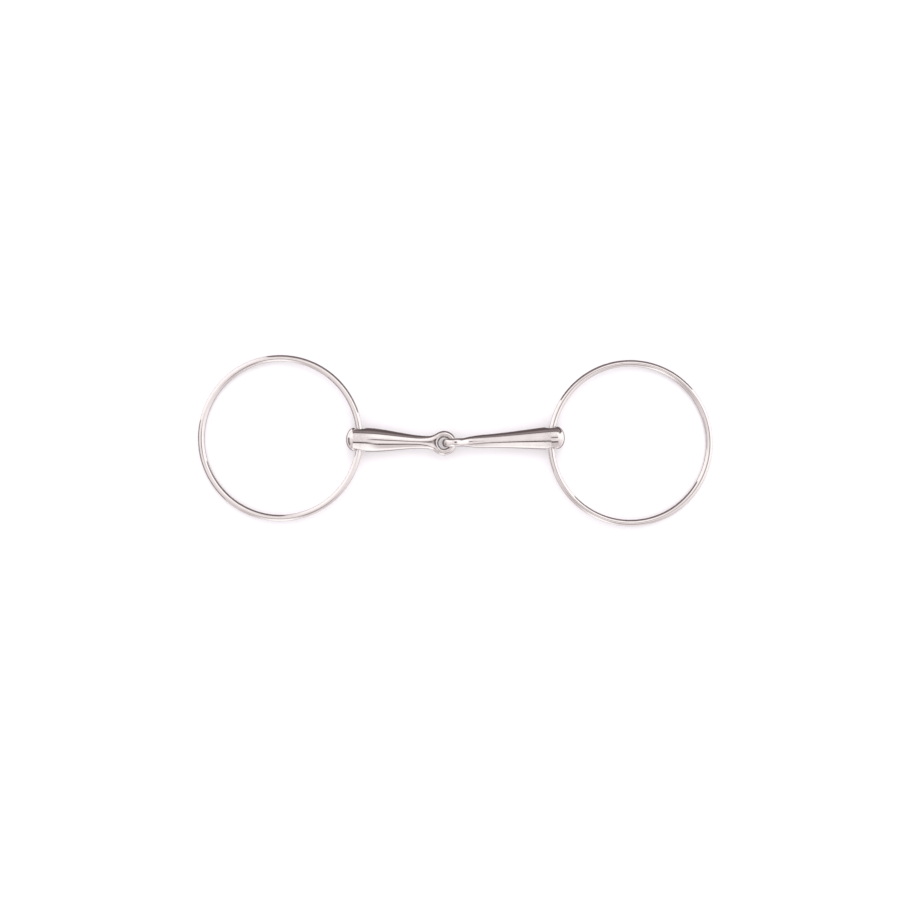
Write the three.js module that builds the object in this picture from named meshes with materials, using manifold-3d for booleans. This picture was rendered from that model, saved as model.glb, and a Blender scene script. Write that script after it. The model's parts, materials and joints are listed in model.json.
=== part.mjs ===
// Loose-ring snaffle bit with a single-jointed mouthpiece, in millimetres, +Z up.
//
// The bit lies on a table as it would be laid out: the mouthpiece runs along X, both rings
// lean outwards until their far sides touch the table, and the middle joint is pulled out
// straight. The origin is on the table, under the middle of the whole bit.
//
// Each cannon (half of the mouthpiece) is one forged piece: a tapered bar with an eye at its
// inner end and a drilled, bell-mouthed hole for the ring at its outer end. The left eye lies
// flat and the right eye stands upright, so the two link like a chain.

import * as THREE from 'three';
import { mergeVertices } from 'three/addons/utils/BufferGeometryUtils.js';
import Module from 'manifold-3d';

const wasm = await Module();
wasm.setup();

// ---- rings -------------------------------------------------------------------------------

const RING_INSIDE = 103.7; // clear diameter inside a ring
const WIRE = 4.3; // diameter of the ring wire

// ---- cannons -----------------------------------------------------------------------------

// span: eye centre to ring hole. mouthEnd: largest diameter, at the ring hole. fullLength: how
// far before the hole that diameter is reached. flare: taper still left there, in degrees.
// eyeTurn: 0 with the eye lying flat, 90 with the eye standing upright.
const LEFT_CANNON = { span: 57, mouthEnd: 16, fullLength: 5, flare: 0, eyeTurn: 0 };
const RIGHT_CANNON = { span: 65.3, mouthEnd: 15.6, fullLength: 0.5, flare: 4.5, eyeTurn: 90 };

const NECK = 8.5; // bar diameter at its thinnest, beside the eye
const NECK_FILLET = 12; // hollow curve from the neck into the eye's rim
const THINNING = 14; // length over which the round bar thins down to the eye
const TIP_OVERHANG = 9; // ring hole to the end of the bar
const TIP_DOME = 5.8; // length of the rounded end

// ---- eyes and the middle joint -----------------------------------------------------------

const EYE_OUTSIDE = 16.4; // diameter over the eye
const EYE_THICKNESS = 5.4;
const EYE_THROAT = 7.6; // narrowest diameter of the eye's hole
const EYE_BELL = 1.2; // how much further the hole opens at the eye's faces, all round
const EYE_RIM_ROUND = 1.6; // rounding of the eye's outer edges

// ---- fits and lie ------------------------------------------------------------------------

const LINK_GAP = 0.3; // between the two eyes where they pull on each other
const RING_PLAY = 0.9; // all round the wire, in the narrowest part of its hole
const RING_BELL = 1.3; // how much further that hole opens at the bar's surface, all round

const LEFT_LIE = 2.5; // degrees that each cannon slopes away from X
const RIGHT_LIE = 2.75;
const LEFT_RING_YAW = 1.5; // degrees between each ring's own radius and its cannon
const RIGHT_RING_YAW = -6.4;

// ---- fineness of the faceting ------------------------------------------------------------

const BAR_SIDES = 24;
const EYE_SIDES = 36;
const HOLE_SIDES = 20;
const WIRE_SIDES = 12;
const RING_SIDES = 72;
const TAPER_STEPS = 11;
const CURVE_STEPS = 6;
const BEARING_STEPS = 20;

// ---- worked out from the sizes above -----------------------------------------------------

const wireR = WIRE / 2;
const ringR = (RING_INSIDE + WIRE) / 2; // to the middle of the wire
const eyeR = EYE_OUTSIDE / 2;
const eyeHalf = EYE_THICKNESS / 2;
const neckR = NECK / 2;
const throatR = EYE_THROAT / 2;
const lieHeight = eyeR; // the upright eye stands on the table
const ringTilt = Math.asin((lieHeight - wireR) / (2 * ringR));
const filletCentreX = Math.sqrt((eyeR + NECK_FILLET) ** 2 - (neckR + NECK_FILLET) ** 2);
const filletStartX = (filletCentreX * eyeR) / (eyeR + NECK_FILLET);

const rad = THREE.MathUtils.degToRad;

// How much of its bell a hole has opened, from 0 in its throat to 1 at its face, where share
// is the way from one to the other.
function bellOpening(share) {
  return 1 - Math.sqrt(1 - share ** 2);
}

// Eye centre to eye centre with the joint pulled out: each eye's rounded inner wall then comes
// within the gap of the other's throat somewhere across its thickness.
function pulledOutPitch() {
  let pitch = Infinity;
  for (let i = 0; i <= BEARING_STEPS; i += 1) {
    const share = i / BEARING_STEPS;
    const wallR = throatR + EYE_BELL * bellOpening(share);
    const reach = Math.sqrt((throatR - LINK_GAP) ** 2 - (share * eyeHalf) ** 2);
    pitch = Math.min(pitch, wallR + reach);
  }
  return pitch;
}

// ---- solids ------------------------------------------------------------------------------

function toSolid(geometry) {
  const bare = geometry.clone();
  bare.deleteAttribute('normal');
  bare.deleteAttribute('uv');
  const merged = mergeVertices(bare, 1e-4);
  const triVerts = [];
  for (let i = 0; i < merged.index.count; i += 3) {
    const [a, b, c] = [0, 1, 2].map((k) => merged.index.getX(i + k));
    if (a !== b && b !== c && c !== a) triVerts.push(a, b, c);
  }
  return new wasm.Manifold(new wasm.Mesh({
    numProp: 3,
    vertProperties: Float32Array.from(merged.attributes.position.array),
    triVerts: Uint32Array.from(triVerts),
  }));
}

function toGeometry(solid) {
  const mesh = solid.getMesh();
  const geometry = new THREE.BufferGeometry();
  geometry.setAttribute('position', new THREE.BufferAttribute(mesh.vertProperties, 3));
  geometry.setIndex(new THREE.BufferAttribute(mesh.triVerts, 1));
  geometry.computeVertexNormals();
  return geometry;
}

// A lathe about Y whose flats, not its corners, face along the axes.
function lathe(profile, sides) {
  return new THREE.LatheGeometry(profile, sides, Math.PI / sides);
}

// ---- ring --------------------------------------------------------------------------------

// The wire's round section, with a flat facing the middle of the ring, turned about Z.
function ringGeometry() {
  const section = [];
  for (let i = 0; i <= WIRE_SIDES; i += 1) {
    const a = ((i % WIRE_SIDES) + 0.5) * ((2 * Math.PI) / WIRE_SIDES);
    section.push(new THREE.Vector2(ringR + wireR * Math.cos(a), wireR * Math.sin(a)));
  }
  return lathe(section, RING_SIDES).rotateX(Math.PI / 2);
}

// ---- cannon ------------------------------------------------------------------------------

// Half-width of the bar in the plane of its eye, from inside the eye to the ring end.
function barProfile(cannon) {
  const fullX = cannon.span - cannon.fullLength;
  const fullR = cannon.mouthEnd / 2;
  const third = (fullX - filletCentreX) / 3;
  const rise = third * Math.tan(rad(cannon.flare));
  const domeX = cannon.span + TIP_OVERHANG - TIP_DOME;

  const points = [new THREE.Vector2(0, eyeHalf)];
  for (let i = 0; i < CURVE_STEPS; i += 1) {
    const x = THREE.MathUtils.lerp(filletStartX, filletCentreX, i / CURVE_STEPS);
    const drop = Math.sqrt(NECK_FILLET ** 2 - (filletCentreX - x) ** 2);
    points.push(new THREE.Vector2(x, neckR + NECK_FILLET - drop));
  }
  const taper = new THREE.CubicBezierCurve(
    new THREE.Vector2(filletCentreX, neckR),
    new THREE.Vector2(filletCentreX + third, neckR),
    new THREE.Vector2(fullX - third, fullR - rise),
    new THREE.Vector2(fullX, fullR),
  );
  points.push(...taper.getPoints(TAPER_STEPS));
  for (let i = 0; i <= CURVE_STEPS; i += 1) {
    const a = (i / CURVE_STEPS) * (Math.PI / 2);
    points.push(new THREE.Vector2(domeX + TIP_DOME * Math.sin(a), fullR * Math.cos(a)));
  }
  points[points.length - 1].y = 0;
  return points;
}

// The bar is turned round, then thinned towards its eye: the flattened part is boxier too.
function barGeometry(cannon) {
  const profile = barProfile(cannon);
  const onAxis = [new THREE.Vector2(0, 0), ...profile.map((p) => new THREE.Vector2(p.y, p.x))];
  const bar = lathe(onAxis, BAR_SIDES).rotateZ(-Math.PI / 2);
  const thinStart = eyeR - EYE_RIM_ROUND;
  const position = bar.attributes.position;
  for (let i = 0; i < position.count; i += 1) {
    const along = THREE.MathUtils.clamp((position.getX(i) - thinStart) / THINNING, 0, 1);
    const left = (1 - along) ** 2;
    const radius = Math.hypot(position.getY(i), position.getZ(i));
    if (left > 0 && radius > 0) {
      const barR = position.getX(i) < filletCentreX ? neckR : radius;
      const thin = barR - (neckR - eyeHalf) * left;
      const power = 1 - 0.45 * left;
      const cos = position.getY(i) / radius;
      const sin = position.getZ(i) / radius;
      position.setY(i, radius * Math.sign(cos) * Math.abs(cos) ** power);
      position.setZ(i, Math.min(radius, thin) * Math.sign(sin) * Math.abs(sin) ** power);
    }
  }
  return bar;
}

// The eye's blank: a thick disc with rounded edges, lying flat.
function eyeBlank() {
  const flat = eyeR - EYE_RIM_ROUND;
  const profile = [new THREE.Vector2(0, -eyeHalf)];
  for (const side of [-1, 1]) {
    for (let i = 0; i <= CURVE_STEPS; i += 1) {
      const turn = side < 0 ? i / CURVE_STEPS : 1 - i / CURVE_STEPS;
      const a = turn * (Math.PI / 2);
      profile.push(new THREE.Vector2(
        flat + EYE_RIM_ROUND * Math.sin(a),
        side * (eyeHalf - EYE_RIM_ROUND + EYE_RIM_ROUND * Math.cos(a)),
      ));
    }
  }
  profile.push(new THREE.Vector2(0, eyeHalf));
  return lathe(profile, EYE_SIDES).rotateX(Math.PI / 2);
}

// A cutter along Z for a hole of radius narrowR in the middle that opens by bell at +-half,
// and goes on at that width for some way past.
function bellCutter(narrowR, bell, half, sides) {
  const reach = half * 2;
  const mouthR = narrowR + bell;
  const profile = [new THREE.Vector2(0, -reach), new THREE.Vector2(mouthR, -reach)];
  for (let i = -CURVE_STEPS; i <= CURVE_STEPS; i += 1) {
    const share = i / CURVE_STEPS;
    profile.push(new THREE.Vector2(narrowR + bell * bellOpening(share), half * share));
  }
  profile.push(new THREE.Vector2(mouthR, reach), new THREE.Vector2(0, reach));
  return lathe(profile, sides).rotateX(Math.PI / 2);
}

function cannonGeometry(cannon) {
  const eyeCut = bellCutter(throatR, EYE_BELL, eyeHalf, EYE_SIDES);
  const forged = toSolid(barGeometry(cannon)).add(toSolid(eyeBlank())).subtract(toSolid(eyeCut));

  const ringCut = bellCutter(wireR + RING_PLAY, RING_BELL, cannon.mouthEnd / 2, HOLE_SIDES)
    .rotateX(Math.PI / 2)
    .translate(cannon.span, 0, 0);
  const turned = toGeometry(forged).rotateX(rad(cannon.eyeTurn));
  return toGeometry(toSolid(turned).subtract(toSolid(ringCut)));
}

// ---- assembly ----------------------------------------------------------------------------

function polished(name, geometry, colour, roughness) {
  const material = new THREE.MeshStandardMaterial({ color: colour, roughness, metalness: 1 });
  const mesh = new THREE.Mesh(geometry, material);
  mesh.name = name;
  return mesh;
}

// A ring hangs in its hole at the group's origin and reaches out along +X, leaning down.
function hangingRing(name, yaw) {
  const ring = polished(name, ringGeometry(), '#cfc9c4', 0.18);
  ring.position.set(ringR, 0, 0);
  const swing = new THREE.Group();
  swing.rotation.set(0, ringTilt, rad(yaw), 'ZYX');
  swing.add(ring);
  return swing;
}

// One side of the bit: its cannon reaches out along +X from the flat eye's centre.
function side(label, cannon, eyeX, lie, yaw) {
  const half = new THREE.Group();
  const bar = polished(`${label}_cannon`, cannonGeometry(cannon), '#d6d0cb', 0.14);
  bar.position.x = eyeX;
  const ring = hangingRing(`${label}_ring`, yaw);
  ring.position.x = eyeX + cannon.span;
  half.add(bar, ring);
  half.position.z = lieHeight;
  half.rotation.z = rad(lie);
  return half;
}

const bit = new THREE.Group();
bit.add(
  side('left', LEFT_CANNON, 0, 180 - LEFT_LIE, LEFT_RING_YAW),
  side('right', RIGHT_CANNON, pulledOutPitch(), RIGHT_LIE, RIGHT_RING_YAW),
);

// Put the origin on the table, under the middle of the whole bit.
bit.updateMatrixWorld(true);
const extent = new THREE.Box3().setFromObject(bit, true);
const middle = extent.getCenter(new THREE.Vector3());
bit.position.set(-middle.x, -middle.y, -extent.min.z);

export default bit;
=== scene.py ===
import json
import math

import bpy
from mathutils import Matrix, Vector


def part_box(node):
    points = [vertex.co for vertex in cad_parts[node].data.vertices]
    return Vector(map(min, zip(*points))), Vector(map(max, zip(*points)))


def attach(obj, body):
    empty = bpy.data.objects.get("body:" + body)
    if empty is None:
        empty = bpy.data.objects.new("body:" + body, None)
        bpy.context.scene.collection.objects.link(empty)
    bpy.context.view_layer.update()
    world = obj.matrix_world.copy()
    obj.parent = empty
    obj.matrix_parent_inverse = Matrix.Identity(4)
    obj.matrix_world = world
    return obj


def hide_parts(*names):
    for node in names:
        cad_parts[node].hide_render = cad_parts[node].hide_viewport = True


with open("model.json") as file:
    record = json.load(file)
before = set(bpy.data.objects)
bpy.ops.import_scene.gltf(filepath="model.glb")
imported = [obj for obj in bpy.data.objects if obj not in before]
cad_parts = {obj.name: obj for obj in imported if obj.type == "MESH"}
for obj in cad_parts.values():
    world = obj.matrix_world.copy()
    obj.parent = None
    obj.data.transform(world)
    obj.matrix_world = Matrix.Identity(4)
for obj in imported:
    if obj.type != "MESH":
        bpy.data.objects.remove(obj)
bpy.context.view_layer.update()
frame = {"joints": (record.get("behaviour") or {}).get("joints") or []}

MM = 0.001

# ---- sizes of the bit, in metres -----------------------------------------------------------

WIRE_RADIUS = 2.15 * MM
WELD_RISE = 0.05 * MM  # how proud the dressed butt weld stands on the wire
WELD_LENGTH = 2.6 * MM
WELD_ANGLE = math.radians(118)  # where the weld is, round the ring from its hole

NECK_RADIUS = 4.25 * MM
NECK_FILLET = 12 * MM  # hollow curve from the neck into the eye's rim
THINNING = 14 * MM  # length over which the round bar thins down to the eye
BOXINESS = 0.45  # how far the bar's section is from round where it meets the eye
TIP_OVERHANG = 9 * MM
TIP_DOME = 5.8 * MM  # length of the rounded end

EYE_RADIUS = 8.2 * MM
EYE_HALF = 2.7 * MM  # half the eye's thickness
EYE_THROAT = 3.8 * MM
EYE_BELL = 1.6 * MM  # how much wider the eye's hole is at its faces
EYE_RIM_ROUND = 2.1 * MM

RING_HOLE = 3.05 * MM
RING_HOLE_BELL = 1.3 * MM

# Each bar's span, from its eye to its ring hole, is worked out; these also differ between the two.
LEFT_BAR = {"mouth_radius": 8.0 * MM, "full_length": 5.0 * MM, "flare": 0.0, "eye_turn": 0.0}
RIGHT_BAR = {
    "mouth_radius": 7.8 * MM,
    "full_length": 0.5 * MM,
    "flare": math.radians(4.5),
    "eye_turn": math.radians(90),
}
RIGHT_SPAN = 65.3 * MM  # from the right ring hole to the middle of the right eye

# ---- fineness ------------------------------------------------------------------------------

BAR_SIDES = 72
EYE_SIDES = 128
HOLE_SIDES = 64
TAPER_STEPS = 28
CURVE_STEPS = 10
WIRE_SIDES = 40
RING_STEPS = 240
SKIN_VOXEL = 0.24 * MM  # size of the quads in a cannon's polished skin
SKIN_SMOOTHING = 8
NECK_SMOOTHING = 60
NECK_MIDDLE = 8.6 * MM  # where the blend between bar and eye is worked over most
NECK_REACH = 5 * MM
MOUTH_SMOOTHING = 30
SMOOTHING_FACTOR = 0.5
MERGE_DISTANCE = 1e-7
MOUTH_REACH = 1.8 * MM  # how far round the mouth of a ring hole it is eased


# ---- where things are, read from the frame -------------------------------------------------

def joint_place(name):
    joint = next(j for j in frame["joints"] if j["name"] == name)
    return Vector(joint["pos_m"]), Vector(joint["axis"]).normalized()


def box_centre(node):
    low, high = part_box(node)
    return (low + high) / 2


def placed_along(start, end, turn=0.0):
    """A frame at start with +X towards end, turned about that line."""
    along = (end - start).normalized()
    across = Vector((0, 0, 1)).cross(along).normalized()
    up = along.cross(across)
    axes = Matrix((along, across, up)).transposed().to_4x4()
    return Matrix.Translation(start) @ axes @ Matrix.Rotation(turn, 4, "X")


# ---- modelling helpers ---------------------------------------------------------------------

def only(piece):
    if bpy.context.mode != "OBJECT":
        bpy.ops.object.mode_set(mode="OBJECT")
    bpy.ops.object.select_all(action="DESELECT")
    piece.select_set(True)
    bpy.context.view_layer.objects.active = piece
    return piece


def added(name):
    piece = bpy.context.active_object
    piece.name = name
    piece.data.name = name
    return piece


def settle(piece, place=Matrix.Identity(4)):
    """Put the piece at its place, with that place in its mesh."""
    only(piece)
    piece.matrix_world = place @ piece.matrix_world
    bpy.ops.object.transform_apply(location=True, rotation=True, scale=True)
    return piece


def modify(piece, kind, **settings):
    only(piece)
    modifier = piece.modifiers.new(kind.title(), kind)
    for key, value in settings.items():
        setattr(modifier, key, value)
    bpy.ops.object.modifier_apply(modifier=modifier.name)


def join_or_cut(piece, tool, operation):
    modify(piece, "BOOLEAN", operation=operation, object=tool, solver="EXACT")
    bpy.data.objects.remove(tool)


def outward(piece):
    only(piece)
    bpy.ops.object.mode_set(mode="EDIT")
    bpy.ops.mesh.select_all(action="SELECT")
    bpy.ops.mesh.remove_doubles(threshold=MERGE_DISTANCE)
    bpy.ops.mesh.normals_make_consistent(inside=False)
    bpy.ops.object.mode_set(mode="OBJECT")


def pick_edges(piece, wanted):
    """Go into edit mode with only the edges selected whose two ends pass the test."""
    only(piece)
    bpy.ops.object.mode_set(mode="EDIT")
    bpy.ops.mesh.select_mode(type="EDGE")
    bpy.ops.mesh.select_all(action="DESELECT")
    bpy.ops.object.mode_set(mode="OBJECT")
    for edge in piece.data.edges:
        a, b = (piece.data.vertices[v].co for v in edge.vertices)
        edge.select = wanted(a, b)
    bpy.ops.object.mode_set(mode="EDIT")


def drawn_out(name, stations, sides):
    """A closed bar along +X, extruded from one station (x, half width, half height) to the next."""
    x, wide, high = stations[0]
    bpy.ops.mesh.primitive_circle_add(
        vertices=sides, radius=1, fill_type="NGON",
        location=(x, 0, 0), rotation=(0, math.pi / 2, 0),
    )
    bar = settle(added(name))
    bpy.ops.object.mode_set(mode="EDIT")
    bpy.ops.mesh.select_all(action="SELECT")
    bpy.ops.transform.resize(value=(1, wide, high), center_override=(x, 0, 0))
    for next_x, next_wide, next_high in stations[1:]:
        bpy.ops.mesh.extrude_region_move(TRANSFORM_OT_translate={"value": (next_x - x, 0, 0)})
        grow = (1, next_wide / wide, next_high / high)
        bpy.ops.transform.resize(value=grow, center_override=(next_x, 0, 0))
        x, wide, high = next_x, next_wide, next_high
    outward(bar)
    return bar


# ---- ring ----------------------------------------------------------------------------------

def wire_ring(name, hole, tangent):
    """Wire spun round the ring's own centre, with the dressed butt weld standing just proud."""
    centre = box_centre(name)
    outwards = (hole - centre).normalized()
    normal = outwards.cross(tangent).normalized()
    section = Matrix((outwards, normal, outwards.cross(normal))).transposed().to_4x4()
    bpy.ops.mesh.primitive_circle_add(vertices=WIRE_SIDES, radius=WIRE_RADIUS, fill_type="NOTHING")
    ring = settle(added(name + "_polished"), Matrix.Translation(hole) @ section)
    bpy.ops.object.mode_set(mode="EDIT")
    bpy.ops.mesh.select_all(action="SELECT")
    bpy.ops.mesh.spin(steps=RING_STEPS, angle=2 * math.pi, center=centre, axis=normal)
    outward(ring)
    raise_weld(ring, centre, hole, normal)
    return ring


def raise_weld(ring, centre, hole, normal):
    reach = (hole - centre).length
    outwards = (hole - centre).normalized()
    along = outwards.cross(normal)
    for vertex in ring.data.vertices:
        arm = vertex.co - centre
        flat = arm - arm.dot(normal) * normal
        angle = math.atan2(flat.dot(along), flat.dot(outwards))
        away = abs((angle - WELD_ANGLE + math.pi) % (2 * math.pi) - math.pi) * reach
        if away < WELD_LENGTH:
            middle = centre + flat.normalized() * reach
            rise = WELD_RISE * math.cos(away / WELD_LENGTH * math.pi / 2) ** 2
            vertex.co += (vertex.co - middle).normalized() * rise


# ---- cannon --------------------------------------------------------------------------------

def bar_stations(bar, span):
    """The forged bar from inside its eye to its tip, as (x, half width, half thickness)."""
    fillet_x = math.sqrt((EYE_RADIUS + NECK_FILLET) ** 2 - (NECK_RADIUS + NECK_FILLET) ** 2)
    start_x = fillet_x * EYE_RADIUS / (EYE_RADIUS + NECK_FILLET)
    full_x = span - bar["full_length"]
    dome_x = span + TIP_OVERHANG - TIP_DOME
    end_slope = math.tan(bar["flare"]) * (full_x - fillet_x)
    rise = bar["mouth_radius"] - NECK_RADIUS

    widths = [(0.0, EYE_HALF * 2)]
    for i in range(CURVE_STEPS):
        x = start_x + (fillet_x - start_x) * i / CURVE_STEPS
        drop = math.sqrt(NECK_FILLET ** 2 - (fillet_x - x) ** 2)
        widths.append((x, NECK_RADIUS + NECK_FILLET - drop))
    for i in range(TAPER_STEPS + 1):
        u = i / TAPER_STEPS
        swell = rise * (3 * u ** 2 - 2 * u ** 3) + end_slope * (u ** 3 - u ** 2)
        widths.append((fillet_x + (full_x - fillet_x) * u, NECK_RADIUS + swell))
    for i in range(CURVE_STEPS * 2):
        a = i / (CURVE_STEPS * 2) * math.pi / 2
        widths.append((dome_x + TIP_DOME * math.sin(a), bar["mouth_radius"] * math.cos(a)))

    stations = []
    for x, wide in widths:
        bar_radius = NECK_RADIUS if x < fillet_x else wide
        thin = bar_radius - (NECK_RADIUS - EYE_HALF) * flattening(x)
        stations.append((x, wide, min(wide, thin)))
    return stations


def flattening(x):
    """1 at the eye, easing to 0 where the bar is fully round."""
    along = (x - EYE_RADIUS + EYE_RIM_ROUND) / THINNING
    return (1 - min(max(along, 0), 1)) ** 2


def square_up(bar, stations):
    """Make the flattened end of the bar boxier in section, as it comes from the die."""
    for vertex in bar.data.vertices:
        left = flattening(vertex.co.x)
        if left > 0:
            power = 1 - BOXINESS * left
            _, wide, high = min(stations, key=lambda station: abs(station[0] - vertex.co.x))
            for axis, half in ((1, wide), (2, high)):
                share = vertex.co[axis] / half
                vertex.co[axis] = math.copysign(min(abs(share), 1) ** power, share) * half


def work_over(body, share_at, iterations):
    """Polish the skin more where share_at(place) is above 0."""
    group = body.vertex_groups.new(name="worked_over")
    for vertex in body.data.vertices:
        share = share_at(vertex.co)
        if share > 0:
            group.add([vertex.index], min(share, 1), "REPLACE")
    modify(
        body, "SMOOTH", factor=SMOOTHING_FACTOR, iterations=iterations, vertex_group="worked_over"
    )
    body.vertex_groups.clear()


def blend_neck(body):
    """Run the bar smoothly into the rim of its eye."""
    def share_at(place):
        if math.hypot(place.x, place.y) < EYE_THROAT + EYE_BELL:
            return 0
        return 2 - 2 * abs(place.x - NECK_MIDDLE) / NECK_REACH
    work_over(body, share_at, NECK_SMOOTHING)


def ease_hole_mouths(body, hole, axis, bar_radius):
    """Take the sharp edge off both mouths of the ring's hole."""
    def share_at(place):
        arm = place - hole
        height = abs(arm.dot(axis))
        if height < bar_radius / 2:
            return 0
        away = (arm - arm.dot(axis) * axis).length
        return 2 - 2 * abs(away - RING_HOLE - RING_HOLE_BELL) / MOUTH_REACH
    work_over(body, share_at, MOUTH_SMOOTHING)


def bell_stations(narrow, bell, half):
    """A hole's cutter: narrow in the middle, opening by bell at each face, and on past it."""
    reach = half * 2
    stations = [(-reach, narrow + bell, narrow + bell)]
    for i in range(-CURVE_STEPS, CURVE_STEPS + 1):
        share = i / CURVE_STEPS
        radius = narrow + bell * (1 - math.sqrt(1 - share ** 2))
        stations.append((half * share, radius, radius))
    stations.append((reach, narrow + bell, narrow + bell))
    return stations


def eye_blank():
    """A thick disc lying flat, its outer edges rounded over."""
    bpy.ops.mesh.primitive_cylinder_add(vertices=EYE_SIDES, radius=EYE_RADIUS, depth=EYE_HALF * 2)
    disc = settle(added("eye_blank"))
    pick_edges(disc, lambda a, b: abs(a.z - b.z) < EYE_HALF)
    bpy.ops.mesh.bevel(offset=EYE_RIM_ROUND, segments=CURVE_STEPS, affect="EDGES")
    outward(disc)
    return disc


def cannon(name, bar, eye, hole):
    """One forging: bar and eye in one, both holes cut, and the whole polished over."""
    span = (hole - eye).length
    stations = bar_stations(bar, span)
    body = drawn_out(name + "_polished", stations, BAR_SIDES)
    square_up(body, stations)
    join_or_cut(body, eye_blank(), "UNION")
    eye_cut = drawn_out("eye_cut", bell_stations(EYE_THROAT, EYE_BELL, EYE_HALF), EYE_SIDES)
    settle(eye_cut, Matrix.Rotation(math.pi / 2, 4, "Y"))
    join_or_cut(body, eye_cut, "DIFFERENCE")
    hole_bell = bell_stations(RING_HOLE, RING_HOLE_BELL, bar["mouth_radius"])
    ring_cut = drawn_out("ring_cut", hole_bell, HOLE_SIDES)
    across = Matrix.Rotation(bar["eye_turn"], 4, "X") @ Matrix.Rotation(math.pi / 2, 4, "Z")
    settle(ring_cut, Matrix.Translation((span, 0, 0)) @ across)
    join_or_cut(body, ring_cut, "DIFFERENCE")
    modify(body, "REMESH", mode="VOXEL", voxel_size=SKIN_VOXEL)
    modify(body, "SMOOTH", factor=SMOOTHING_FACTOR, iterations=SKIN_SMOOTHING)
    blend_neck(body)
    hole_axis = across.to_3x3() @ Vector((1, 0, 0))
    ease_hole_mouths(body, Vector((span, 0, 0)), hole_axis, bar["mouth_radius"])
    return settle(body, placed_along(eye, hole, -bar["eye_turn"]))


# ---- materials -----------------------------------------------------------------------------

class Tree:
    """Adds nodes to one node tree, with values and links given together."""

    def __init__(self, tree):
        self.tree = tree

    def node(self, kind, settings=None, **inputs):
        node = self.tree.nodes.new(kind)
        for key, value in (settings or {}).items():
            setattr(node, key, value)
        for name, value in inputs.items():
            self.feed(node, name.replace("_", " "), value)
        return node

    def feed(self, node, name, value):
        """Fill an input by its name, or by its number if the name is n0, n1 and so on."""
        numbered = name[0] == "n" and name[1:].isdigit()
        self.put(node.inputs[int(name[1:]) if numbered else name], value)

    def put(self, socket, value):
        if isinstance(value, bpy.types.NodeSocket):
            self.tree.links.new(value, socket)
        else:
            socket.default_value = value

    def group(self, group, **inputs):
        return self.node("ShaderNodeGroup", {"node_tree": group}, **inputs).outputs

    def sum(self, operation, *values):
        """One sum: ADD, MULTIPLY, and the rest of the Math node's."""
        node = self.node("ShaderNodeMath", {"operation": operation})
        for socket, value in zip(node.inputs, values):
            self.put(socket, value)
        return node.outputs[0]

    def rising(self, value, low, high):
        """0 below low, 1 above high, easing between."""
        smooth = {"interpolation_type": "SMOOTHSTEP"}
        node = self.node("ShaderNodeMapRange", smooth, Value=value, From_Min=low, From_Max=high)
        return node.outputs["Result"]

    def mixed(self, share, first, second):
        node = self.node("ShaderNodeMix", {"data_type": "RGBA"})
        wanted = {i.identifier: i for i in node.inputs}
        self.put(wanted["Factor_Float"], share)
        self.put(wanted["A_Color"], first)
        self.put(wanted["B_Color"], second)
        return next(o for o in node.outputs if o.identifier == "Result_Color")

    def ramp(self, value, low, high, places):
        """Colours by value; places is (0 at low to 1 at high, colour), in order."""
        share = self.node("ShaderNodeMapRange", Value=value, From_Min=low, From_Max=high)
        node = self.node("ShaderNodeValToRGB", Fac=share.outputs["Result"])
        elements = node.color_ramp.elements
        elements[0].position, elements[0].color = places[0]
        elements[1].position, elements[1].color = places[-1]
        for position, colour in places[1:-1]:
            elements.new(position).color = colour
        return node.outputs["Color"]

    def noise(self, place, scale, detail=2.0, roughness=0.5):
        node = self.node(
            "ShaderNodeTexNoise", Vector=place, Scale=scale, Detail=detail, Roughness=roughness
        )
        return node.outputs["Fac"]

    def stretched(self, place, scale):
        node = self.node("ShaderNodeVectorMath", {"operation": "MULTIPLY"}, n0=place, n1=scale)
        return node.outputs[0]

    def turned(self, place, turn):
        return self.node("ShaderNodeMapping", Vector=place, Rotation=turn).outputs[0]


def new_group(name, takes, gives):
    """A shader node group; takes is (name, kind, value) for each input, gives (name, kind)."""
    group = bpy.data.node_groups.new(name, "ShaderNodeTree")
    for label, kind, value in takes:
        socket = group.interface.new_socket(label, in_out="INPUT", socket_type="NodeSocket" + kind)
        if value is not None:
            socket.default_value = value
    for label, kind in gives:
        group.interface.new_socket(label, in_out="OUTPUT", socket_type="NodeSocket" + kind)
    tree = Tree(group)
    return tree, group.nodes.new("NodeGroupInput").outputs, group.nodes.new("NodeGroupOutput")


# How much each pattern is drawn out along X, as the scale of its places.
FINE_LINES = (0.02, 1, 1)
COARSE_LINES = (0.05, 1, 1)
WAVES = (0.45, 1, 1)
SCRATCH_LINES = (0.035, 1, 0.6)

COARSE_FINENESS = 0.3  # of the fine lines' fineness
FINE_SHARE = 0.65  # of the lines; the coarse ones make up the rest
SCRATCH_TURNS = ((0.5, 0.0), (1.7, 0.31), (-0.8, 0.77))  # (direction, tip), in radians
SCRATCH_WIDTH = 0.012
SCRATCH_PATCH = 0.22  # size of the scratched patches' pattern, of the scratches'
SCRATCHED_WHERE = (0.56, 0.66)  # a pattern's values from which a mark begins and is full
HAZED_WHERE = (0.35, 0.75)
SPOTTED_WHERE = (0.55, 0.7)
SPOT_PATTERN = 4.0  # size of the spots' pattern, of the haze's
SPOT_RADIUS = 0.27
SPOT_RIM = 0.05
RAGGED_PATTERN = 700.0
RAGGEDNESS = 0.7
SHADE_AND_WEAR_EDGE = (0.8, 1.45)  # of the reach of a place round a joint, with painted shade in its colour and wear in its roughness


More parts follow.
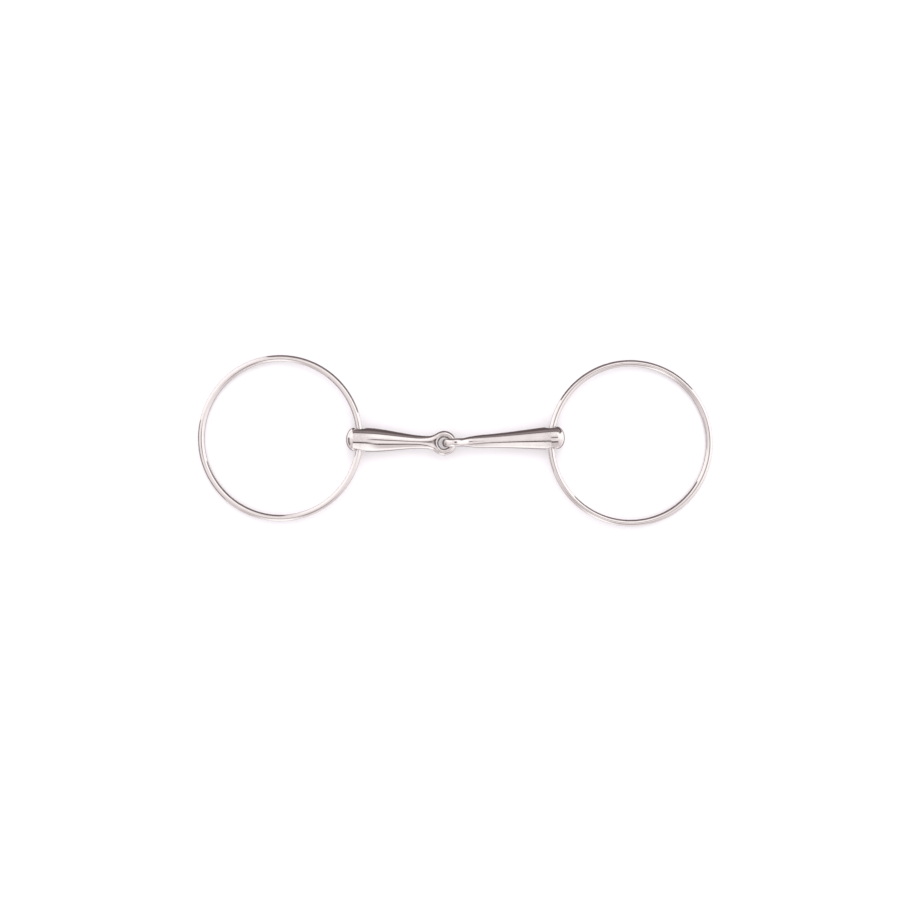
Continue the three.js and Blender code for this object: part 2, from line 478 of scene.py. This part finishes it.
def mop_lines_group():
    """Hairlines that the polishing mop leaves along X, and the slow waviness of hand polishing."""
    tree, given, out = new_group(
        "mop_lines",
        [("Place", "Vector", None), ("Fineness", "Float", 5000.0), ("Line Depth", "Float", 0.5),
         ("Wave Size", "Float", 140.0), ("Wave Depth", "Float", 1.0)],
        [("Lines", "Float"), ("Height", "Float")],
    )
    place = given["Place"]
    fine = tree.noise(tree.stretched(place, FINE_LINES), given["Fineness"], 3.0, 0.7)
    coarse_size = tree.sum("MULTIPLY", given["Fineness"], COARSE_FINENESS)
    coarse = tree.noise(tree.stretched(place, COARSE_LINES), coarse_size)
    rest = tree.sum("MULTIPLY", coarse, 1 - FINE_SHARE)
    lines = tree.sum("MULTIPLY_ADD", fine, FINE_SHARE, rest)
    wave = tree.noise(tree.stretched(place, WAVES), given["Wave Size"], 1.0)
    lined = tree.sum("MULTIPLY", lines, given["Line Depth"])
    height = tree.sum("MULTIPLY_ADD", wave, given["Wave Depth"], lined)
    tree.feed(out, "Lines", lines)
    tree.feed(out, "Height", height)
    return tree.tree


def scratches_group():
    """Sparse fine scratches from buckles, teeth and tack boxes, in three directions."""
    tree, given, out = new_group(
        "scratches",
        [("Place", "Vector", None), ("Size", "Float", 900.0), ("Amount", "Float", 0.5)],
        [("Scratched", "Float")],
    )
    marks = None
    for turn, tip in SCRATCH_TURNS:
        turned = tree.turned(given["Place"], (tip, tip * 0.6, turn))
        drawn = tree.noise(tree.stretched(turned, SCRATCH_LINES), given["Size"], 1.0)
        nearness = tree.sum("ABSOLUTE", tree.sum("SUBTRACT", drawn, 0.5))
        line = tree.sum("SUBTRACT", 1.0, tree.rising(nearness, 0.0, SCRATCH_WIDTH))
        patch = tree.noise(turned, tree.sum("MULTIPLY", given["Size"], SCRATCH_PATCH), 0.0)
        line = tree.sum("MULTIPLY", line, tree.rising(patch, *SCRATCHED_WHERE))
        marks = line if marks is None else tree.sum("MAXIMUM", marks, line)
    tree.feed(out, "Scratched", tree.sum("MULTIPLY", marks, given["Amount"]))
    return tree.tree


def handling_group():
    """The haze of handling: cloudy patches where the shine is a little dulled, and dried spots."""
    tree, given, out = new_group(
        "handling_haze",
        [("Place", "Vector", None), ("Patch Size", "Float", 160.0), ("Spots", "Float", 0.5)],
        [("Haze", "Float"), ("Spotted", "Float")],
    )
    cloud = tree.noise(given["Place"], given["Patch Size"], 4.0, 0.6)
    spots = tree.node(
        "ShaderNodeTexVoronoi", {"feature": "F1"}, Vector=given["Place"],
        Scale=tree.sum("MULTIPLY", given["Patch Size"], SPOT_PATTERN),
    )
    ring = tree.sum("ABSOLUTE", tree.sum("SUBTRACT", spots.outputs["Distance"], SPOT_RADIUS))
    rim = tree.sum("SUBTRACT", 1.0, tree.rising(ring, 0.0, SPOT_RIM))
    seldom = tree.rising(tree.noise(given["Place"], given["Patch Size"], 0.0), *SPOTTED_WHERE)
    tree.feed(out, "Haze", tree.rising(cloud, *HAZED_WHERE))
    spotted = tree.sum("MULTIPLY", tree.sum("MULTIPLY", rim, seldom), given["Spots"])
    tree.feed(out, "Spotted", spotted)
    return tree.tree


def shade_and_wear_place_group():
    """1 close to one joint, fading raggedly to 0: there the colour is painted darker, a painted
    shade where the parts meet, and the metal is rougher where metal rubs on metal.
    """
    tree, given, out = new_group(
        "shade_and_wear_place",
        [("Place", "Vector", None), ("Centre", "Vector", None), ("Reach", "Float", 0.008)],
        [("Rubbed", "Float")],
    )
    away = tree.node(
        "ShaderNodeVectorMath", {"operation": "DISTANCE"}, n0=given["Place"], n1=given["Centre"]
    )
    share = tree.sum("DIVIDE", away.outputs["Value"], given["Reach"])
    uneven = tree.noise(given["Place"], RAGGED_PATTERN, 4.0, 0.65)
    ragged = tree.sum("MULTIPLY_ADD", uneven, RAGGEDNESS, share)
    tree.feed(out, "Rubbed", tree.sum("SUBTRACT", 1.0, tree.rising(ragged, *SHADE_AND_WEAR_EDGE)))
    return tree.tree


def round_the_ring_group():
    """Turns a place on a ring lying flat round the origin into one on straight wire along X."""
    tree, given, out = new_group(
        "along_the_wire",
        [("Place", "Vector", None), ("Ring Radius", "Float", 0.054)],
        [("Place", "Vector")],
    )
    flat = tree.node("ShaderNodeSeparateXYZ", n0=given["Place"]).outputs
    angle = tree.sum("ARCTAN2", flat["Y"], flat["X"])
    y_squared = tree.sum("MULTIPLY", flat["Y"], flat["Y"])
    across = tree.sum("SQRT", tree.sum("MULTIPLY_ADD", flat["X"], flat["X"], y_squared))
    length = tree.sum("MULTIPLY", angle, given["Ring Radius"])
    beside = tree.sum("SUBTRACT", across, given["Ring Radius"])
    place = tree.node("ShaderNodeCombineXYZ", X=length, Y=beside, Z=flat["Z"])
    tree.feed(out, "Place", place.outputs[0])
    return tree.tree


MOP_LINES = mop_lines_group()
SCRATCHES = scratches_group()
HANDLING_HAZE = handling_group()
SHADE_AND_WEAR_PLACE = shade_and_wear_place_group()
ALONG_THE_WIRE = round_the_ring_group()


def steel(name, place_matrix, look, rubbed, ring_radius=None):
    """Polished stainless steel. For each joint given as (place, reach), the colour round it is
    painted darker, a painted shade where the parts meet, and the metal is worn rougher there.
    """
    material = bpy.data.materials.new(name)
    material.use_nodes = True
    tree = Tree(material.node_tree)
    shader = material.node_tree.nodes["Principled BSDF"]
    where = tree.node("ShaderNodeTexCoord").outputs["Object"]
    into = place_matrix.inverted()
    place = tree.node(
        "ShaderNodeMapping", Vector=where, Location=into.to_translation(), Rotation=into.to_euler()
    ).outputs[0]
    if ring_radius:
        place = tree.group(ALONG_THE_WIRE, Place=place, Ring_Radius=ring_radius)["Place"]

    lines = tree.group(
        MOP_LINES, Place=place, Fineness=look["fineness"], Line_Depth=look["line_depth"],
        Wave_Size=look["wave_size"], Wave_Depth=look["wave_depth"],
    )
    haze = tree.group(HANDLING_HAZE, Place=place, Patch_Size=look["patches"], Spots=look["spots"])
    scratched = tree.group(
        SCRATCHES, Place=place, Size=look["scratch_size"], Amount=look["scratches"]
    )[0]
    # Mask of the painted shade round each joint; the same mask also makes the metal rougher there,
    # as wear.
    shade_and_wear_mask = None
    for centre, reach in rubbed:
        spot = tree.group(SHADE_AND_WEAR_PLACE, Place=where, Centre=centre, Reach=reach)[0]
        shade_and_wear_mask = spot if shade_and_wear_mask is None else tree.sum("MAXIMUM", shade_and_wear_mask, spot)

    colour = look["colour"]
    roughness = tree.sum("MULTIPLY_ADD", lines["Lines"], look["line_roughness"], look["roughness"])
    # The last mark paints the metal darker round each joint, a painted shade where the parts meet;
    # its added roughness is real wear.
    for mark, mark_colour, strength, added_roughness in (
        (haze["Haze"], look["dulled"], look["dulling"], look["haze"]),
        (haze["Spotted"], look["dried"], look["drying"], look["spot_roughness"]),
        (shade_and_wear_mask, look["rubbed"], look["joint_shade_strength"], look["wear_roughness"]),
    ):
        colour = tree.mixed(tree.sum("MULTIPLY", mark, strength), colour, mark_colour)
        roughness = tree.sum("MULTIPLY_ADD", mark, added_roughness, roughness)
    roughness = tree.sum("MULTIPLY_ADD", scratched, look["scratch_roughness"], roughness)
    height = tree.sum("MULTIPLY_ADD", scratched, -look["scratch_depth"], lines["Height"])
    bump = tree.node("ShaderNodeBump", Strength=1.0, Distance=look["bump"], Height=height)
    tree.feed(shader, "Base Color", colour)
    tree.feed(shader, "Roughness", roughness)
    tree.feed(shader, "Normal", bump.outputs[0])
    shader.inputs["Metallic"].default_value = 1
    return material


FORGED_LOOK = {
    "colour": (0.78, 0.745, 0.74, 1), "roughness": 0.022,
    "fineness": 5200.0, "line_depth": 0.05, "line_roughness": 0.03,
    "wave_size": 150.0, "wave_depth": 1.0,
    "dulled": (0.72, 0.685, 0.68, 1), "dulling": 0.6, "haze": 0.035, "patches": 170.0,
    "dried": (0.62, 0.60, 0.58, 1), "drying": 0.35, "spots": 0.6, "spot_roughness": 0.12,
    # This darker colour round the joints, and how much of it is mixed in, are painted shade; the
    # added roughness beside them is real wear.
    "rubbed": (0.50, 0.475, 0.46, 1), "joint_shade_strength": 0.75, "wear_roughness": 0.16,
    "scratch_size": 900.0, "scratches": 0.8, "scratch_roughness": 0.22, "scratch_depth": 0.15,
    "bump": 1.6e-5,
}
DRAWN_LOOK = {
    **FORGED_LOOK,
    "colour": (0.76, 0.725, 0.72, 1), "roughness": 0.02,
    "fineness": 6500.0, "line_depth": 0.1, "line_roughness": 0.025,
    "wave_size": 210.0, "wave_depth": 0.7,
    "haze": 0.03, "patches": 240.0, "scratch_size": 1200.0,
    "bump": 1.2e-5,
}
# How far from the middle of a joint the metal is painted darker, as painted shade where the parts
# meet, and worn rougher.
EYE_SHADE_AND_WEAR = 7.5 * MM
HOLE_SHADE_AND_WEAR = 9.5 * MM
WIRE_SHADE_AND_WEAR = 9 * MM


def cannon_steel(name, eye, hole):
    # Painted shade and wear round the linked eyes and round the ring hole.
    rubbed = ((FOLD, EYE_SHADE_AND_WEAR), (hole, HOLE_SHADE_AND_WEAR))
    return steel(name, placed_along(eye, hole), FORGED_LOOK, rubbed)


def ring_steel(name, node, hole, tangent):
    centre = box_centre(node)
    inwards = (centre - hole).normalized()
    across = tangent.cross(inwards).normalized()
    axes = Matrix((inwards, across.cross(inwards), across)).transposed().to_4x4()
    place = Matrix.Translation(centre) @ axes
    # Painted shade and wear where the ring passes through the cannon's hole.
    return steel(name, place, DRAWN_LOOK, ((hole, WIRE_SHADE_AND_WEAR),), (hole - centre).length)


# ---- putting the bit together --------------------------------------------------------------

def finish(piece, node, material):
    only(piece)
    bpy.ops.object.shade_smooth()
    piece.data.materials.clear()
    piece.data.materials.append(material)
    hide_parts(node)
    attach(piece, node)


FOLD, _ = joint_place("mouthpiece_fold")
LEFT_HOLE, LEFT_TANGENT = joint_place("left_ring_swing")
RIGHT_HOLE, RIGHT_TANGENT = joint_place("right_ring_swing")
RIGHT_EYE = RIGHT_HOLE + (FOLD - RIGHT_HOLE).normalized() * RIGHT_SPAN
PIECES = (
    ("left_ring", wire_ring("left_ring", LEFT_HOLE, LEFT_TANGENT),
     ring_steel("left_wire_steel", "left_ring", LEFT_HOLE, LEFT_TANGENT), "ring_steel"),
    ("right_ring", wire_ring("right_ring", RIGHT_HOLE, RIGHT_TANGENT),
     ring_steel("right_wire_steel", "right_ring", RIGHT_HOLE, RIGHT_TANGENT), "ring_steel"),
    ("left_cannon", cannon("left_cannon", LEFT_BAR, FOLD, LEFT_HOLE),
     cannon_steel("left_forged_steel", FOLD, LEFT_HOLE), "cannon_steel"),
    ("right_cannon", cannon("right_cannon", RIGHT_BAR, RIGHT_EYE, RIGHT_HOLE),
     cannon_steel("right_forged_steel", RIGHT_EYE, RIGHT_HOLE), "cannon_steel"),
)
for node, piece, material, slot in PIECES:
    finish(piece, node, material)

# ---- studio --------------------------------------------------------------------------------

CAMERA_DISTANCE = 0.85
CAMERA_TILT = math.radians(0.5)
CAMERA_AIM = Vector((-0.0036, -0.0063, 0))
CAMERA_LENS = 50
FLOOR_SIZE = 4
KEY_PLACE = Vector((0.12, 0.75, 1.15))
KEY_SIZE = 0.9
KEY_COLOUR = (1.0, 0.97, 0.99)

PAPER_COLOUR = (0.93, 0.895, 0.922)
SKY_STRENGTH = 1.26  # what the paper gets from all round
KEY_STRENGTH = 0.14  # and from the soft light behind the bit
SKY_RANGE = 1.5  # brightness at the top of the ramps

# Dark cards that only the metal mirrors: (low corner, high corner, brightness up the card).
CARDS = {
    "card_behind": (
        Vector((-0.19, 0.23, -0.3)), Vector((0.45, 0.23, 0.145)),
        (
            (0.0, 0.12), (0.6, 0.13), (0.68, 0.22), (0.78, 0.32), (0.86, 0.3), (0.93, 0.16),
            (1.0, 0.3),
        ),
    ),
    "card_beside": (
        Vector((-0.35, -0.2, -0.12)), Vector((-0.35, 0.05, 0.055)),
        ((0.0, 0.2), (1.0, 0.3)),
    ),
}
BENEATH_LEVEL = 0.2  # how dark the paper right beside the bit is, in its own shadow

# A direction's own x, size of x, or z, from which one part of the studio gives way to the next.
LEFT_TO_RIGHT = (-0.1, 0.1)
OVERHEAD_TO_AROUND = (0.25, 0.55)
BENEATH_TO_ABOVE = (-0.92, -0.55)

# What hangs over the table, as (angle from straight up towards +Y in degrees, brightness),
# seen towards +X and towards -X, and then what stands round it, by angle from +X towards +Y.
SKY_RIGHT = (
    (-100, 1.25), (-90, 0.8), (-51, 0.78), (-47, 0.08), (-37, 0.08), (-33, 1.1), (-8, 1.1),
    (-3, 0.9), (-1, 0.12), (6, 0.12), (9, 0.9), (14, 1.1), (24, 1.15), (28, 1.35), (60, 1.25),
    (150, 0.9),
)
SKY_LEFT = (
    (-94, 1.4), (-66, 1.3), (-40, 1.2), (-37, 0.08), (-27, 0.08), (-23, 0.85), (-8, 1.0),
    (8, 1.1), (24, 1.0), (28, 1.1), (60, 0.95), (150, 0.9),
)
ROUND_ABOUT = (
    (-180, 1.1), (-140, 0.85), (-110, 0.6), (-75, 0.65), (-40, 1.0), (0, 1.4), (20, 1.4),
    (110, 1.35), (160, 1.35), (180, 1.1),
)


def warmed(level):
    """Bright things in the studio are near white, and the dark ones a warm taupe."""
    return (1.01 * level ** 0.92, level ** 1.04, level ** 1.03, 1)


def sky_ramp(tree, stops, across, along):
    """Brightness by the angle whose sine and cosine are the two sockets given."""
    places = [((angle + 180) / 360, warmed(level / SKY_RANGE)) for angle, level in stops]
    return tree.ramp(tree.sum("ARCTAN2", across, along), -math.pi, math.pi, places)


def studio_world():
    """The metal mirrors the painted studio; the paper and the view just see a pale, even sky."""
    world = bpy.data.worlds.new("studio")
    bpy.context.scene.world = world
    world.use_nodes = True
    world.node_tree.nodes.clear()
    tree = Tree(world.node_tree)
    towards = tree.node("ShaderNodeTexCoord").outputs["Generated"]
    x, y, z = tree.node("ShaderNodeSeparateXYZ", n0=towards).outputs
    overhead = tree.mixed(
        tree.rising(x, *LEFT_TO_RIGHT),
        sky_ramp(tree, SKY_LEFT, y, z),
        sky_ramp(tree, SKY_RIGHT, y, z),
    )
    around = sky_ramp(tree, ROUND_ABOUT, y, x)
    sideways = tree.rising(tree.sum("ABSOLUTE", x), *OVERHEAD_TO_AROUND)
    studio = tree.mixed(sideways, overhead, around)
    beneath = warmed(BENEATH_LEVEL / SKY_RANGE)
    studio = tree.mixed(tree.rising(z, *BENEATH_TO_ABOVE), beneath, studio)
    mirrored = tree.node("ShaderNodeBackground", Color=studio, Strength=SKY_RANGE)
    plain = tree.node("ShaderNodeBackground", Color=(1, 1, 1, 1), Strength=SKY_STRENGTH)
    glossy = tree.node("ShaderNodeLightPath").outputs["Is Glossy Ray"]
    seen = tree.node(
        "ShaderNodeMixShader", Fac=glossy, n1=plain.outputs[0], n2=mirrored.outputs[0]
    )
    tree.node("ShaderNodeOutputWorld", Surface=seen.outputs[0])


def shineless(name, colour):
    """A material that reflects nothing sharply, and its shader."""
    material = bpy.data.materials.new(name)
    material.use_nodes = True
    shader = material.node_tree.nodes["Principled BSDF"]
    shader.inputs["Base Color"].default_value = (*colour, 1)
    shader.inputs["Specular IOR Level"].default_value = 0
    return material, shader


def dark_card(name, low, high, levels):
    """An upright card with its own dim glow, which only the metal sees."""
    reach = high - low
    facing = (math.pi / 2, 0, 0) if reach.x else (0, math.pi / 2, 0)
    bpy.ops.mesh.primitive_plane_add(size=1, rotation=facing)
    card = settle(added(name))
    card.scale = [side or 1 for side in reach]
    card.location = (low + high) / 2
    settle(card)
    material, shader = shineless("card", (0, 0, 0))
    tree = Tree(material.node_tree)
    where = tree.node("ShaderNodeTexCoord").outputs["Object"]
    height = tree.node("ShaderNodeSeparateXYZ", n0=where).outputs["Z"]
    places = [(place, warmed(level)) for place, level in levels]
    tree.feed(shader, "Emission Color", tree.ramp(height, low.z, high.z, places))
    tree.feed(shader, "Emission Strength", 1)
    card.data.materials.append(material)
    card.visible_camera = card.visible_diffuse = card.visible_shadow = False


def paper_floor():
    bpy.ops.mesh.primitive_plane_add(size=FLOOR_SIZE, location=(0, 0, 0))
    floor = added("floor")
    paper, shader = shineless("paper", PAPER_COLOUR)
    shader.inputs["Roughness"].default_value = 1
    floor.data.materials.append(paper)
    floor.visible_glossy = False


def key_light():
    light = bpy.data.lights.new("key", "AREA")
    light.shape = "DISK"
    light.size = KEY_SIZE
    light.color = KEY_COLOUR
    reach = KEY_PLACE.length
    slant = KEY_PLACE.z / reach
    # The power that puts KEY_STRENGTH of plain white light on the paper at the origin.
    light.energy = KEY_STRENGTH * math.pi ** 2 * reach ** 2 / slant
    key = bpy.data.objects.new("key", light)
    bpy.context.scene.collection.objects.link(key)
    key.location = KEY_PLACE
    key.rotation_euler = (-KEY_PLACE).to_track_quat("-Z", "Y").to_euler()
    key.visible_glossy = False


def camera_above():
    scene = bpy.context.scene
    camera = bpy.data.objects.new("camera", bpy.data.cameras.new("camera"))
    scene.collection.objects.link(camera)
    back = Vector((0, -math.sin(CAMERA_TILT), math.cos(CAMERA_TILT)))
    camera.location = CAMERA_AIM + back * CAMERA_DISTANCE
    camera.rotation_euler = (-back).to_track_quat("-Z", "Y").to_euler()
    camera.data.lens = CAMERA_LENS
    scene.camera = camera


bpy.context.scene.view_settings.view_transform = "Standard"
studio_world()
paper_floor()
for card, (low, high, levels) in CARDS.items():
    dark_card(card, low, high, levels)
key_light()
camera_above()
